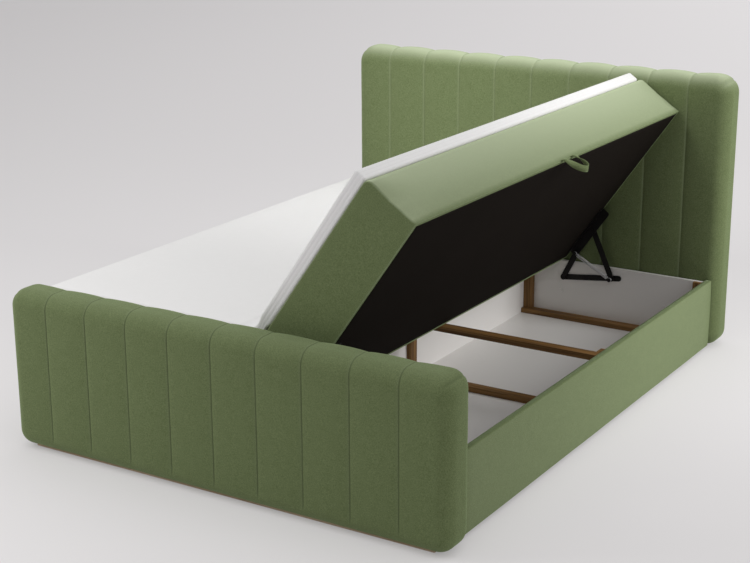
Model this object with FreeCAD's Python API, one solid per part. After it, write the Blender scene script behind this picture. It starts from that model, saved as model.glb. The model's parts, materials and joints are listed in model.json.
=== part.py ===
import FreeCAD, Part
import math
import os

# Box spring bed with two lift-up mattress halves over storage boxes.
# Millimetres. X runs across the bed, Y from the foot end to the head end, Z up.
# The origin is on the floor under the middle of the bed.
# The right half is modelled open and the left half closed.

V = FreeCAD.Vector

# Sleeping field
mattress_length = 2000.0
end_clearance = 5.0
lid_width = 797.0
centre_clearance = 5.0
lid_thickness = 203.0
lid_bulge = 10.0
lid_shoulder = 172.0
lid_inner_radius = 45.0
lid_end_draw = 11.0
lid_end_round = 30.0
lid_border = 9.0
lid_padding = 13.0
lid_cloth = 1.5
lid_frame_height = 40.0
lid_frame_width = 45.0
lid_slat_count = 3
lid_felt = 22.0
lid_felt_inset = 30.0

# Topper
topper_thickness = 45.0
topper_side_inset = 9.0
topper_end_inset = 6.0
topper_round = 8.0
topper_gap = 0.3

# Padded boards
board_overhang = 29.0
board_depth = 148.0
headboard_height = 1086.0
footboard_height = 554.0
board_ground_gap = 10.0
board_top_radius = 60.0
board_corner_radius = 64.0
board_end_radius = 46.0
board_hem_radius = 38.0
channel_count = 10
seam_depth = 8.0
front_padding = 42.0
back_padding = 36.0
core_margin = 60.0
core_reveal = 5.0

# Storage boxes
box_ground_gap = 16.0
box_height = 266.0
board_clearance = 2.0
rail_margin = 4.0
rail_thickness = 18.0
cover_thickness = 4.0
cover_lip = 1.5
rail_cover_round = 3.2
divider_thickness = 18.0
panel_thickness = 16.0
panel_drop = 3.0
floor_thickness = 4.0
bearer_height = 18.0
bearer_inset = 110.0
batten_width = 40.0
batten_height = 20.0
middle_frame_y = 12.0
lid_seat_clearance = 0.5

# Glides and bolts
glide_radius = 24.0
glide_chamfer = 1.5
glide_inset = 70.0
board_glide_inset = 260.0
bolt_radius = 4.0
bolt_head_radius = 9.0
bolt_head_height = 5.0
bolt_grip = 30.0
bolt_clearance = 0.3
bolt_inset = 160.0
bolt_height = 150.0

# Lift linkage: a short inner arm and a long outer arm carry each end of a lid
lid_tilt = 55.1
open_edge_x = 184.0
open_edge_rise = 3.5
pivot_drop = 25.0
inner_pivot_u = 60.0
outer_pivot_u = 183.0
inner_base_drop = 75.5
outer_base_drop = 50.5
bar_width = 23.0
bar_thickness = 4.0
bar_tail = 30.0
layer_gap = 0.5
pin_radius = 4.0
pin_head_radius = 8.0
pin_head_height = 3.0
running_clearance = 0.08
lid_bar_end = 13.0
lid_bar_length = 240.0
lid_bar_lip = 28.0
lid_bar_corner = 10.5

# Tension springs
wire_radius = 1.6
coil_radius = 6.8
coil_turns = 10
hook_clearance = 0.4
hook_play = 3.0
hook_neck = 7.0
spring_offset = 12.0

# Pull loops
loop_width = 20.0
loop_gap = 50.0
loop_thickness = 3.0
loop_reach = 6.0
loop_bend = 7.0
loop_leg = 24.0
loop_hang = 80.0

# Edges are picked by their place to within this distance
edge_match = 0.01

gap_half = mattress_length / 2 + end_clearance
box_half = gap_half - board_clearance
panel_face = box_half - panel_thickness
divider_face = divider_thickness / 2
rail_out = centre_clearance + lid_width + rail_margin
rail_mid = rail_out - cover_thickness
rail_in = rail_mid - rail_thickness
box_top = box_ground_gap + box_height
rail_top = box_top + cover_thickness
floor_low = box_ground_gap + bearer_height
floor_top = floor_low + floor_thickness
seat_z = rail_top + lid_seat_clearance
lid_half = mattress_length / 2
board_width = 2 * (rail_out + board_overhang)
topper_edge = centre_clearance + lid_width - topper_side_inset
topper_length = mattress_length - 2 * topper_end_inset
bearer_rows = (bearer_inset - panel_face, 0.0, panel_face - bearer_inset)

os.makedirs("parts", exist_ok=True)


def save(name, shape):
    """Write one node and print how many solids and how much volume it has."""
    shape.exportStep("parts/" + name + ".step")
    print(name, len(shape.Solids), "solids", round(shape.Volume / 1000.0, 1), "cm3", shape.isValid())


def block(x0, x1, y0, y1, z0, z1):
    return Part.makeBox(x1 - x0, y1 - y0, z1 - z0, V(x0, y0, z0))


def rod(radius, x, y0, y1, z):
    """A cylinder along Y."""
    return Part.makeCylinder(radius, y1 - y0, V(x, y0, z), V(0, 1, 0))


def mirror_x(shape):
    return shape.mirror(V(0, 0, 0), V(1, 0, 0))


def mirror_y(shape):
    return shape.mirror(V(0, 0, 0), V(0, 1, 0))


def group(shapes):
    return Part.makeCompound(shapes)


def arc(a, b, c):
    return Part.Arc(a, b, c).toShape()


def line(a, b):
    return Part.makeLine(a, b)


# Padded boards


def board_section(x, height, front, back, top, bottom):
    """The side outline of a board at one place across it, drawn in by the four insets."""
    low = board_ground_gap + bottom
    high = height - top
    near = front
    far = board_depth - back
    radius = min(board_top_radius, (far - near) / 2 - 1)
    bow = radius * (1 - math.sqrt(0.5))
    points = [
        V(x, near, low),
        V(x, near, high - radius),
        V(x, near + radius, high),
        V(x, far - radius, high),
        V(x, far, high - radius),
        V(x, far, low),
    ]
    front_arc = arc(points[1], V(x, near + bow, high - bow), points[2])
    back_arc = arc(points[3], V(x, far - bow, high - bow), points[4])
    return Part.Wire([
        line(points[0], points[1]),
        front_arc,
        line(points[2], points[3]),
        back_arc,
        line(points[4], points[5]),
        line(points[5], points[0]),
    ])


def channel(x0, x1, height, back_share):
    """One padded channel: deepest at its middle, drawn in to the seams."""
    pitch = board_width / channel_count
    sections = []
    for share in (0.0, 0.5, 1.0):
        x = x0 + (x1 - x0) * share
        from_middle = abs((x + board_width / 2) / pitch % 1.0 - 0.5) * 2
        draw = seam_depth * from_middle ** 2
        sections.append(board_section(x, height, draw, draw * back_share, draw, 0))
    return Part.makeLoft(sections, True, False)


def round_draw(radius, x):
    """How far a rounding of the board's right end draws the outline in at x."""
    past = max(0.0, x - (board_width / 2 - radius))
    return radius - math.sqrt(max(0.0, radius ** 2 - past ** 2))


def end_section(x, height):
    """The side outline at the right end: a wide corner above, a tighter one at the hem."""
    side = round_draw(board_end_radius, x)
    top = round_draw(board_corner_radius, x)
    return board_section(x, height, side, side, top, round_draw(board_hem_radius, x))


def end_roll(height):
    """The rounded right end of a board, past the last crown."""
    crown = board_width / 2 - board_width / channel_count / 2
    corner = board_width / 2 - board_corner_radius
    edge = board_width / 2 - board_end_radius
    turns = [edge + board_end_radius * math.sin(math.radians(degrees)) for degrees in (0, 30, 60, 90)]
    straight = Part.makeLoft([end_section(x, height) for x in (crown, corner)], True, True)
    falling = Part.makeLoft([end_section(x, height) for x in (corner, (corner + edge) / 2, edge)], True, False)
    rounded = Part.makeLoft([end_section(x, height) for x in turns], True, False)
    return straight.multiFuse([falling, rounded])


def board_padding(height, back_share):
    """The whole padded form of a board, front face on Y = 0."""
    pitch = board_width / channel_count
    left = -board_width / 2
    crown = board_width / 2 - pitch / 2
    pieces = [channel(left + i * pitch, left + (i + 1) * pitch, height, back_share)
              for i in range(1, channel_count - 1)]
    quarter = channel(crown - pitch / 2, crown, height, back_share)
    roll = end_roll(height)
    pieces += [quarter, roll, mirror_x(quarter), mirror_x(roll)]
    return pieces[0].multiFuse(pieces[1:])


def board_core(height):
    """The board inside the padding; its lower edge shows under the hem."""
    half = board_width / 2 - core_margin
    return block(-half, half, front_padding, board_depth - back_padding,
                 board_ground_gap - core_reveal, height - core_margin)


def bolt_places():
    across = [sign * x for sign in (-1, 1) for x in (divider_face + bolt_inset, rail_in - bolt_inset)]
    return [(x, bolt_height) for x in across]


def bolt(x, z):
    """A connecting bolt of the head end: its head is inside the box."""
    shank = rod(bolt_radius, x, panel_face, gap_half + front_padding + bolt_grip, z)
    head = rod(bolt_head_radius, x, panel_face - bolt_head_height, panel_face, z)
    return shank.fuse(head)


def bolt_hole(x, z):
    return rod(bolt_radius + bolt_clearance, x, panel_face, gap_half + board_depth - back_padding, z)


def make_board(name, height, back_share, place):
    """Cover and core of one board, set against its end of the boxes by place."""
    core = board_core(height)
    cover = board_padding(height, back_share).cut(core)
    shift = V(0, gap_half, 0)
    holes = [bolt_hole(x, z) for x, z in bolt_places()]
    for label, shape in (("cover", cover), ("core", core)):
        shape.translate(shift)
        save(name + "_" + label, place(shape.cut(holes)))


def glide(x, y, top):
    """A round foot under a board or a bearer, with its lower edge taken off."""
    foot = Part.makeCylinder(glide_radius, top, V(x, y, 0))
    rim = [e for e in foot.Edges if e.BoundBox.ZMax < top / 2]
    return foot.makeChamfer(glide_chamfer, rim)


# Storage boxes, drawn for the right side


def right_rail_board():
    return block(rail_in, rail_mid, -box_half, box_half, box_ground_gap, box_top)


def right_rail_cover():
    """Fabric and foam round the outside, top and bottom edge of a rail board."""
    low = box_ground_gap - cover_lip
    body = block(rail_in, rail_out, -box_half, box_half, low, rail_top)
    top_edge = V(rail_out, 0, rail_top)
    edges = [e for e in body.Edges if e.CenterOfMass.distanceToPoint(top_edge) < edge_match]
    return body.makeFillet(rail_cover_round, edges).cut(right_rail_board())


def right_end_panel():
    panel = block(divider_face, rail_in, panel_face, box_half, box_ground_gap, box_top - panel_drop)
    return panel.cut([bolt_hole(x, z) for x, z in bolt_places() if x > 0])


def right_floor():
    return block(divider_face, rail_in, -panel_face, panel_face, floor_low, floor_top)


def right_bearers():
    half = batten_width / 2
    return [block(divider_face, rail_in, y - half, y + half, box_ground_gap, floor_low) for y in bearer_rows]


def right_end_batten():
    return block(divider_face, rail_in, panel_face - batten_width, panel_face,
                 floor_top, floor_top + batten_height)


def right_corner_posts():
    """Flat posts that stand on the end batten, against the end panel."""
    low = floor_top + batten_height
    high = box_top - panel_drop
    y0 = panel_face - batten_height
    inner = block(divider_face, divider_face + batten_width, y0, panel_face, low, high)
    outer = block(rail_in - batten_width, rail_in, y0, panel_face, low, high)
    return [inner, outer]


def right_middle_batten():
    return block(divider_face, rail_in, middle_frame_y, middle_frame_y + batten_width,
                 floor_top, floor_top + batten_height)


def right_middle_posts():
    low = floor_top + batten_height
    y0 = middle_frame_y
    y1 = y0 + batten_width
    inner = block(divider_face, divider_face + batten_height, y0, y1, low, box_top)
    outer = block(rail_in - batten_height, rail_in, y0, y1, low, box_top)
    return [inner, outer]


def right_top_batten():
    return block(divider_face, rail_in, middle_frame_y - batten_width, middle_frame_y,
                 box_top - batten_height, box_top)


# Lid frame of reference: u runs out from the lid's inner edge, v up from its underside

tilt = math.radians(lid_tilt)
open_placement = FreeCAD.Placement(
    V(open_edge_x, 0, seat_z + open_edge_rise), FreeCAD.Rotation(V(0, 1, 0), -lid_tilt))
closed_placement = FreeCAD.Placement(V(centre_clearance, 0, seat_z), FreeCAD.Rotation())


def lid_point(placement, u, v, y=0.0):
    return placement.multVec(V(u, y, v))


def moved(shape, placement):
    return shape.transformed(placement.toMatrix())


def lid_outline(y, draw):
    """The end outline of a lid: flat below, bowed outer side, rounded shoulders."""
    left = draw / 3
    right = lid_width - draw / 3
    top = lid_thickness - draw
    shoulder = lid_shoulder - draw
    bow = arc(V(right, y, 0), V(right + lid_bulge, y, shoulder / 2), V(right, y, shoulder))
    lean = 2 * math.atan2(lid_bulge, shoulder / 2)
    radius = (top - shoulder) / (1 - math.sin(lean))
    centre = V(right - radius * math.cos(lean), y, top - radius)
    middle = (lean + math.pi / 2) / 2
    knee = V(centre.x + radius * math.cos(middle), y, centre.z + radius * math.sin(middle))
    corner = arc(V(right, y, shoulder), knee, V(centre.x, y, top))
    inner = lid_inner_radius
    bend = inner * (1 - math.sqrt(0.5))
    turn = arc(V(left + inner, y, top), V(left + bend, y, top - bend), V(left, y, top - inner))
    return Part.Wire([
        line(V(left, y, 0), V(right, y, 0)),
        bow,
        corner,
        line(V(centre.x, y, top), V(left + inner, y, top)),
        turn,
        line(V(left, y, top - inner), V(left, y, 0)),
    ])


def lid_body():
    """The outer form of a lid, with its top drawn in and rounded towards both ends."""
    flat = lid_half - lid_end_round
    middle = Part.makeLoft([lid_outline(-flat, 0), lid_outline(flat, 0)], True, True)
    rounds = []
    for share in (0.0, 0.5, 1.0):
        y = flat + lid_end_round * share
        rounds.append(lid_outline(y, lid_end_draw * share ** 2))
    end = Part.makeLoft(rounds, True, False)
    return middle.multiFuse([end, mirror_y(end)])


def lid_cavity(v0, v1, inset=lid_border):
    """A layer inside the lid's cover between two heights, that far in from its four sides."""
    half = lid_half - inset
    return block(inset, lid_width - inset, -half, half, v0, v1)


def lid_frame():
    low = lid_cloth
    high = low + lid_frame_height
    whole = lid_cavity(low, high)
    box = whole.BoundBox
    width = lid_frame_width
    bays = lid_slat_count + 1
    bay = (box.YLength - width) / bays
    holes = []
    for i in range(bays):
        y0 = box.YMin + width + i * bay
        holes.append(block(box.XMin + width, box.XMax - width, y0, y0 + bay - width, low, high))
    return whole.cut(holes)


def lid_layers():
    """The pieces of a lid in its own frame, by name."""
    frame_top = lid_cloth + lid_frame_height
    felt_top = lid_thickness - lid_padding
    felt_low = felt_top - lid_felt
    felt = lid_cavity(felt_low, felt_top, lid_felt_inset)
    cover = lid_body().cut([lid_cavity(0, felt_low), felt])
    return {
        "lid_cover": cover,
        "lid_bottom_cloth": lid_cavity(0, lid_cloth),
        "lid_frame": lid_frame(),
        "lid_spring_core": lid_cavity(frame_top, felt_low),
        "lid_foam": felt,
        "lid_pull_loop": pull_loop().cut(lid_body()),
    }


def pull_loop():
    """A strap that leaves the lower edge of the lid's outer side and hangs in a loop."""
    hang = math.radians(loop_hang)
    start = lid_width - loop_bend
    knee_u = lid_width + loop_reach
    low = layer_gap
    out = V(math.cos(hang), 0, -math.sin(hang))
    normal = V(math.sin(hang), 0, math.cos(hang))
    inner = loop_bend
    outer = loop_bend + loop_thickness
    centre = V(knee_u, 0, low - inner)

    def on_bend(radius, angle):
        return V(centre.x + radius * math.sin(angle), 0, centre.z + radius * math.cos(angle))

    upper_arc = arc(on_bend(outer, 0), on_bend(outer, hang / 2), on_bend(outer, hang))
    lower_arc = arc(on_bend(inner, hang), on_bend(inner, hang / 2), on_bend(inner, 0))
    upper_end = on_bend(outer, hang) + out * loop_leg
    lower_end = on_bend(inner, hang) + out * loop_leg
    strip = Part.Wire([
        line(V(start, 0, low), V(start, 0, low + loop_thickness)),
        line(V(start, 0, low + loop_thickness), on_bend(outer, 0)),
        upper_arc,
        line(on_bend(outer, hang), upper_end),
        line(upper_end, lower_end),
        line(lower_end, on_bend(inner, hang)),
        lower_arc,
        line(on_bend(inner, 0), V(start, 0, low)),
    ])
    leg = Part.Face(strip).extrude(V(0, loop_width, 0))
    leg.translate(V(0, loop_gap / 2, 0))
    big = loop_gap / 2 + loop_width
    small = loop_gap / 2

    def swing(radius, side):
        return lower_end + V(0, side * radius, 0)

    bight = Part.Wire([
        arc(swing(big, -1), lower_end + out * big, swing(big, 1)),
        line(swing(big, 1), swing(small, 1)),
        arc(swing(small, 1), lower_end + out * small, swing(small, -1)),
        line(swing(small, -1), swing(big, -1)),
    ])
    turn = Part.Face(bight).extrude(normal * loop_thickness)
    return leg.multiFuse([mirror_y(leg), turn])


# Topper: one pad, flat over the left half, bent up along the right half


def pad_middle(placement):
    """A point of the pad's middle plane on a lid, and the direction along the lid."""
    height = lid_thickness + topper_gap + topper_thickness / 2
    start = lid_point(placement, 0, height)
    along = lid_point(placement, 1, height) - start
    return start, along


flat_start, flat_along = pad_middle(closed_placement)
open_start, open_along = pad_middle(open_placement)
crease_share = (flat_start.z - open_start.z) / open_along.z
crease = open_start + open_along * crease_share
bend_radius = crease.x / math.tan(tilt / 2)
bend_length = bend_radius * tilt
bend_end_u = crease_share + crease.x


def pad_slab(u0, u1):
    """A flat stretch of the pad on a lid, with its outer edge rounded."""
    low = lid_thickness + topper_gap
    high = low + topper_thickness
    r = topper_round
    bow = r * (1 - math.sqrt(0.5))
    half = topper_length / 2
    side = Part.Wire([
        line(V(u0, -half, low), V(u1 - r, -half, low)),
        arc(V(u1 - r, -half, low), V(u1 - bow, -half, low + bow), V(u1, -half, low + r)),
        line(V(u1, -half, low + r), V(u1, -half, high - r)),
        arc(V(u1, -half, high - r), V(u1 - bow, -half, high - bow), V(u1 - r, -half, high)),
        line(V(u1 - r, -half, high), V(u0, -half, high)),
        line(V(u0, -half, high), V(u0, -half, low)),
    ])
    return Part.Face(side).extrude(V(0, topper_length, 0))


def pad_bend():
    """The stretch of the pad that turns from the flat half up to the open lid."""
    half_pad = topper_thickness / 2
    half = topper_length / 2
    centre = V(0, -half, flat_start.z + bend_radius)

    def on_bend(radius, angle):
        return V(centre.x + radius * math.sin(angle), -half, centre.z - radius * math.cos(angle))

    low = bend_radius + half_pad
    high = bend_radius - half_pad
    side = Part.Wire([
        arc(on_bend(low, 0), on_bend(low, tilt / 2), on_bend(low, tilt)),
        line(on_bend(low, tilt), on_bend(high, tilt)),
        arc(on_bend(high, tilt), on_bend(high, tilt / 2), on_bend(high, 0)),
        line(on_bend(high, 0), on_bend(low, 0)),
    ])
    return Part.Face(side).extrude(V(0, topper_length, 0))


def make_topper():
    edge_u = topper_edge - centre_clearance
    fold_u = bend_length - centre_clearance
    half = topper_length / 2
    save("topper_right_bend", pad_bend())
    save("topper_right", moved(pad_slab(bend_end_u, edge_u), open_placement))
    low = flat_start.z - topper_thickness / 2
    flat_bend = block(-bend_length, 0, -half, half, low, low + topper_thickness)
    save("topper_left_bend", flat_bend)
    save("topper_left", mirror_x(moved(pad_slab(fold_u, edge_u), closed_placement)))


# Lift linkage of the right side at the head end


def base_pivot(u, drop):
    """The fixed pivot that is as far from a lid point closed as it is open."""
    z = seat_z - drop
    a = lid_point(closed_placement, u, -pivot_drop)
    b = lid_point(open_placement, u, -pivot_drop)
    x = ((b.x ** 2 + b.z ** 2 - a.x ** 2 - a.z ** 2) / 2 - z * (b.z - a.z)) / (b.x - a.x)
    return V(x, 0, z)


pivot_a = base_pivot(inner_pivot_u, inner_base_drop)
pivot_b = base_pivot(outer_pivot_u, outer_base_drop)
base_front = panel_face - bar_thickness
arm_back = base_front - layer_gap
arm_front = arm_back - bar_thickness
lid_bar_back = arm_front - layer_gap
lid_bar_front = lid_bar_back - bar_thickness
spring_y = lid_bar_front - spring_offset
pin_end = spring_y - wire_radius - hook_play


def flat_bar(p, q, tail, y0):
    """A flat bar with round ends from p to q, and past q by tail, holed at p and q."""
    along = V(q.x - p.x, 0, q.z - p.z)
    along.normalize()
    side = V(-along.z, 0, along.x) * (bar_width / 2)
    a = V(p.x, y0, p.z)
    b = V(q.x, y0, q.z) + along * tail
    tip = along * (bar_width / 2)
    edge = Part.Wire([
        line(a + side, b + side),
        arc(b + side, b + tip, b - side),
        line(b - side, a - side),
        arc(a - side, a - tip, a + side),
    ])
    bar = Part.Face(edge).extrude(V(0, bar_thickness, 0))
    hole = pin_radius + running_clearance
    return bar.cut([rod(hole, c.x, y0, y0 + bar_thickness, c.z) for c in (p, q)])


def lid_bar():
    """An angle bar under the lid, in the lid's frame: one leg holds the pivots."""
    u0 = inner_pivot_u - lid_bar_end
    u1 = u0 + lid_bar_length
    low = -pivot_drop - bar_width / 2
    leg = block(u0, u1, lid_bar_front, lid_bar_back, low, 0)
    corners = [e for e in leg.Edges
               if abs(e.CenterOfMass.z - low) < edge_match and e.BoundBox.XLength < edge_match]
    leg = leg.makeFillet(lid_bar_corner, corners)
    lip = block(u0, u1, lid_bar_back - lid_bar_lip, lid_bar_back, -bar_thickness, 0)
    hole = pin_radius + running_clearance
    holes = [rod(hole, u, lid_bar_front, lid_bar_back, -pivot_drop) for u in (inner_pivot_u, outer_pivot_u)]
    return leg.fuse(lip).cut(holes)


def headed_pin(x, z, y0, y1):
    """A pin along Y with a head past its low end."""
    head = rod(pin_head_radius, x, y0 - pin_head_height, y0, z)
    return rod(pin_radius, x, y0, y1, z).fuse(head)


def base_pins():
    """The two fixed pins: the outer one is longer and holds the spring."""
    inner = headed_pin(pivot_a.x, pivot_a.z, arm_front, panel_face)
    outer = headed_pin(pivot_b.x, pivot_b.z, pin_end, panel_face)
    return [inner, outer]


def lid_pins():
    """The lid's two pins, in its frame: the inner one holds the arm and the spring."""
    back_head = rod(pin_head_radius, inner_pivot_u, arm_back, arm_back + layer_gap * 4, -pivot_drop)
    inner = headed_pin(inner_pivot_u, -pivot_drop, pin_end, arm_back).fuse(back_head)
    outer = headed_pin(outer_pivot_u, -pivot_drop, lid_bar_front, lid_bar_back)
    return [inner, outer]


# Tension spring from the fixed outer pin to the lid's inner pin


def biarc(p0, t0, p1, t1):
    """Two tangent arcs from a point and direction to another."""
    chord = p1 - p0
    both = t0 + t1
    spread = 2 - 2 * t0.dot(t1)
    reach = chord.dot(both)
    d = (-reach + math.sqrt(reach ** 2 + spread * chord.dot(chord))) / spread
    q0 = p0 + t0 * d
    q1 = p1 - t1 * d
    joint = (q0 + q1) * 0.5

    def tangent_arc(a, corner, b):
        middle = (a + b) * 0.5
        chord_angle = (corner - a).getAngle(b - a)
        share = math.cos(chord_angle) / (1 + math.cos(chord_angle))
        return arc(a, middle + (corner - middle) * share, b)

    return [tangent_arc(p0, q0, joint), tangent_arc(joint, q1, p1)]


def spring_path(low_pin, high_pin):
    """Hook, coil and hook as one run of arcs."""
    axis = high_pin - low_pin
    length = axis.Length
    axis.normalize()
    cross = V(0, 1, 0)
    side = axis.cross(cross)
    hook = pin_radius + hook_clearance + wire_radius
    start = hook + hook_neck
    rise = (length - 2 * start) / (2 * math.pi * coil_turns)

    def coil_point(turn):
        out = side * math.cos(turn) + cross * math.sin(turn)
        return low_pin + axis * (start + rise * turn) + out * coil_radius

    def coil_heading(turn):
        heading = axis * rise + (cross * math.cos(turn) - side * math.sin(turn)) * coil_radius
        heading.normalize()
        return heading

    def hook_point(pin, way, angle):
        return pin + (axis * (way * math.cos(angle)) + side * math.sin(angle)) * hook

    def hook_heading(way, angle):
        return axis * (-way * math.sin(angle)) + side * math.cos(angle)

    open_angle = math.radians(40)
    far_angle = math.radians(330)
    mid_angle = (open_angle + far_angle) / 2
    edges = []
    edges.append(arc(hook_point(low_pin, 1, far_angle), hook_point(low_pin, 1, mid_angle),
                     hook_point(low_pin, 1, open_angle)))
    last = 2 * math.pi * coil_turns
    edges += biarc(hook_point(low_pin, 1, open_angle), hook_heading(1, open_angle) * -1,
                   coil_point(0), coil_heading(0))
    for i in range(2 * coil_turns):
        a = i * math.pi
        b = a + math.pi
        edges += biarc(coil_point(a), coil_heading(a), coil_point(b), coil_heading(b))
    edges += biarc(coil_point(last), coil_heading(last),
                   hook_point(high_pin, -1, open_angle), hook_heading(-1, open_angle))
    edges.append(arc(hook_point(high_pin, -1, open_angle), hook_point(high_pin, -1, mid_angle),
                     hook_point(high_pin, -1, far_angle)))
    return Part.Wire(edges)


def least_gap(path):
    """The least clear distance of the wire to itself, on points along the path."""
    step = wire_radius
    count = int(path.Length / step)
    points = path.discretize(Number=count)
    skip = int(math.pi * wire_radius * 2.5 / step) + 2
    least = 1e9
    for i in range(count):
        for j in range(i + skip, min(count, i + skip + int(6 * coil_radius * math.pi / step))):
            least = min(least, points[i].distanceToPoint(points[j]))
    return least - 2 * wire_radius


def spring(placement, label):
    lid_pin = lid_point(placement, inner_pivot_u, -pivot_drop)
    low_pin = V(pivot_b.x, spring_y, pivot_b.z)
    high_pin = V(lid_pin.x, spring_y, lid_pin.z)
    path = spring_path(low_pin, high_pin)
    first = path.Edges[0]
    heading = first.tangentAt(first.FirstParameter)
    section = Part.Wire(Part.makeCircle(wire_radius, first.valueAt(first.FirstParameter), heading))
    length = high_pin.distanceToPoint(low_pin)
    print(label, "spring", round(length, 2), "mm, least gap", round(least_gap(path), 2))
    return path.makePipeShell([section], True, False)


def both_ends(shape):
    return [shape, mirror_y(shape)]


def make_linkage(side, placement, place):
    """All linkage nodes of one side, with its lid set by placement."""
    c = lid_point(placement, inner_pivot_u, -pivot_drop)
    d = lid_point(placement, outer_pivot_u, -pivot_drop)
    parts = {
        "base_bar": flat_bar(pivot_a, pivot_b, bar_tail, base_front),
        "inner_arm": flat_bar(pivot_a, c, 0, arm_front),
        "outer_arm": flat_bar(pivot_b, d, 0, arm_front),
        "lid_bar": moved(lid_bar(), placement),
    }
    for name, shape in parts.items():
        for end, half in zip(("head", "foot"), both_ends(shape)):
            save(side + "_" + end + "_" + name, place(half))
    pins = [p for pin in lid_pins() for p in both_ends(moved(pin, placement))]
    save(side + "_lid_pins", place(group(pins)))
    save(side + "_springs", place(group(both_ends(spring(placement, side)))))
    angle_a = math.degrees(math.atan2(c.z - pivot_a.z, c.x - pivot_a.x))
    angle_b = math.degrees(math.atan2(d.z - pivot_b.z, d.x - pivot_b.x))
    angle_s = math.degrees(math.atan2(c.z - pivot_b.z, c.x - pivot_b.x))
    print(side, "C", c, "D", d, "inner arm", angle_a, "outer arm", angle_b, "spring", angle_s)


def same(shape):
    return shape


def make_box_side(side, place):
    """The rail, end panels and floor of one side."""
    save(side + "_rail_board", place(right_rail_board()))
    save(side + "_rail_cover", place(right_rail_cover()))
    for end, panel in zip(("head", "foot"), both_ends(right_end_panel())):
        save(side + "_" + end + "_panel", place(panel))
    save(side + "_floor", place(right_floor()))


def both_sides(shapes):
    return group(shapes + [mirror_x(shape) for shape in shapes])


def make_battens():
    """The wooden frame inside both boxes."""
    posts = [p for post in right_corner_posts() for p in both_ends(post)]
    save("frame_posts", both_sides(posts + right_middle_posts()))
    save("floor_battens", both_sides(both_ends(right_end_batten()) + [right_middle_batten()]))
    save("top_battens", both_sides([right_top_batten()]))
    save("floor_bearers", both_sides(right_bearers()))


def make_fasteners():
    """Fixed pins, board bolts and glides."""
    save("base_pins", both_sides([p for pin in base_pins() for p in both_ends(pin)]))
    save("board_bolts", group([b for x, z in bolt_places() for b in both_ends(bolt(x, z))]))
    feet = []
    for x in (divider_face + glide_inset, rail_in - glide_inset):
        feet += [glide(x, y, box_ground_gap) for y in bearer_rows]
    board_x = board_width / 2 - board_glide_inset
    board_y = gap_half + (front_padding + board_depth - back_padding) / 2
    feet += both_ends(glide(board_x, board_y, board_ground_gap - core_reveal))
    save("glides", both_sides(feet))


make_board("headboard", headboard_height, 0.0, same)
make_board("footboard", footboard_height, 1.0, mirror_y)
save("centre_divider", block(-divider_face, divider_face, -box_half, box_half, box_ground_gap, box_top))
for side_name, side_place in (("right", same), ("left", mirror_x)):
    make_box_side(side_name, side_place)
for side_name, side_placement, side_place in (
        ("right", open_placement, same), ("left", closed_placement, mirror_x)):
    for node, solid in lid_layers().items():
        save(side_name + "_" + node, side_place(moved(solid, side_placement)))
    make_linkage(side_name, side_placement, side_place)
make_topper()
make_battens()
make_fasteners()
print("fixed pivots", pivot_a, pivot_b, "topper bend", bend_length, bend_end_u, crease)
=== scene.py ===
import json
import math

import bmesh
import bpy
from bpy.props import FloatProperty, FloatVectorProperty, IntProperty, PointerProperty
from mathutils import Matrix, Vector, noise


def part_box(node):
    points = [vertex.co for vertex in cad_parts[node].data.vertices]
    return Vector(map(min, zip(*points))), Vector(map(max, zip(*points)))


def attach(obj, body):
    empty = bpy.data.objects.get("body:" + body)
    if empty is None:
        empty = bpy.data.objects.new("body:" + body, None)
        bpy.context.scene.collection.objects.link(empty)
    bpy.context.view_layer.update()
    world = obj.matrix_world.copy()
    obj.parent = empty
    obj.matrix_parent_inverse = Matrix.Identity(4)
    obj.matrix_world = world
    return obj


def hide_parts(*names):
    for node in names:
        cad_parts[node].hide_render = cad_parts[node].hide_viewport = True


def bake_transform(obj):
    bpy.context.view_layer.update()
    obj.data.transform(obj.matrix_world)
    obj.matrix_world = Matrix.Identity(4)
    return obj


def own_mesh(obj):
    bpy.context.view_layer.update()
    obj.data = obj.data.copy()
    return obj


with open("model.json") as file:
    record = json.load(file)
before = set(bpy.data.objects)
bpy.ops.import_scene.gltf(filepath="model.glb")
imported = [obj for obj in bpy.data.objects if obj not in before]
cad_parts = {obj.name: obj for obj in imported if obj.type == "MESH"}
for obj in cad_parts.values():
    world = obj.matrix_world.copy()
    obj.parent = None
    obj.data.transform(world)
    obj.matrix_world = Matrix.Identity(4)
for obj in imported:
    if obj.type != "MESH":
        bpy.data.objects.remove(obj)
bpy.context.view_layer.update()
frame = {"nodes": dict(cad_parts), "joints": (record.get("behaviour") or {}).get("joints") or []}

bl_info = {
    "name": "Box spring bed",
    "version": (1, 0, 0),
    "blender": (4, 5, 0),
    "location": "3D View > Sidebar > Bed",
    "description": "Padded boards, lift-up mattress halves, topper and fittings of a box spring bed",
    "category": "Object",
}

SIDES = ("right", "left")
JOINTS = {joint["name"]: joint for joint in frame["joints"]}
CLOSED_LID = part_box("left_lid_cover")
OPEN_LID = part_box("right_lid_cover")
FLAT_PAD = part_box("topper_left")

# Places closer than this are the same place.
SAME_PLACE = 1e-5


def colour(name, description, default):
    return FloatVectorProperty(name=name, description=description, subtype="COLOR", size=3,
                               min=0.0, max=1.0, default=default)


def length(name, description, default):
    return FloatProperty(name=name, description=description, subtype="DISTANCE", unit="LENGTH",
                         min=0.0, default=default)


def position(name, description, default):
    return FloatVectorProperty(name=name, description=description, subtype="TRANSLATION", unit="LENGTH",
                               size=3, default=default)


def angle(name, description, degrees):
    return FloatProperty(name=name, description=description, subtype="ANGLE", unit="ROTATION",
                         default=math.radians(degrees))


def strength(name, description, default, unit="NONE"):
    return FloatProperty(name=name, description=description, unit=unit, min=0.0, default=default)


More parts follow.
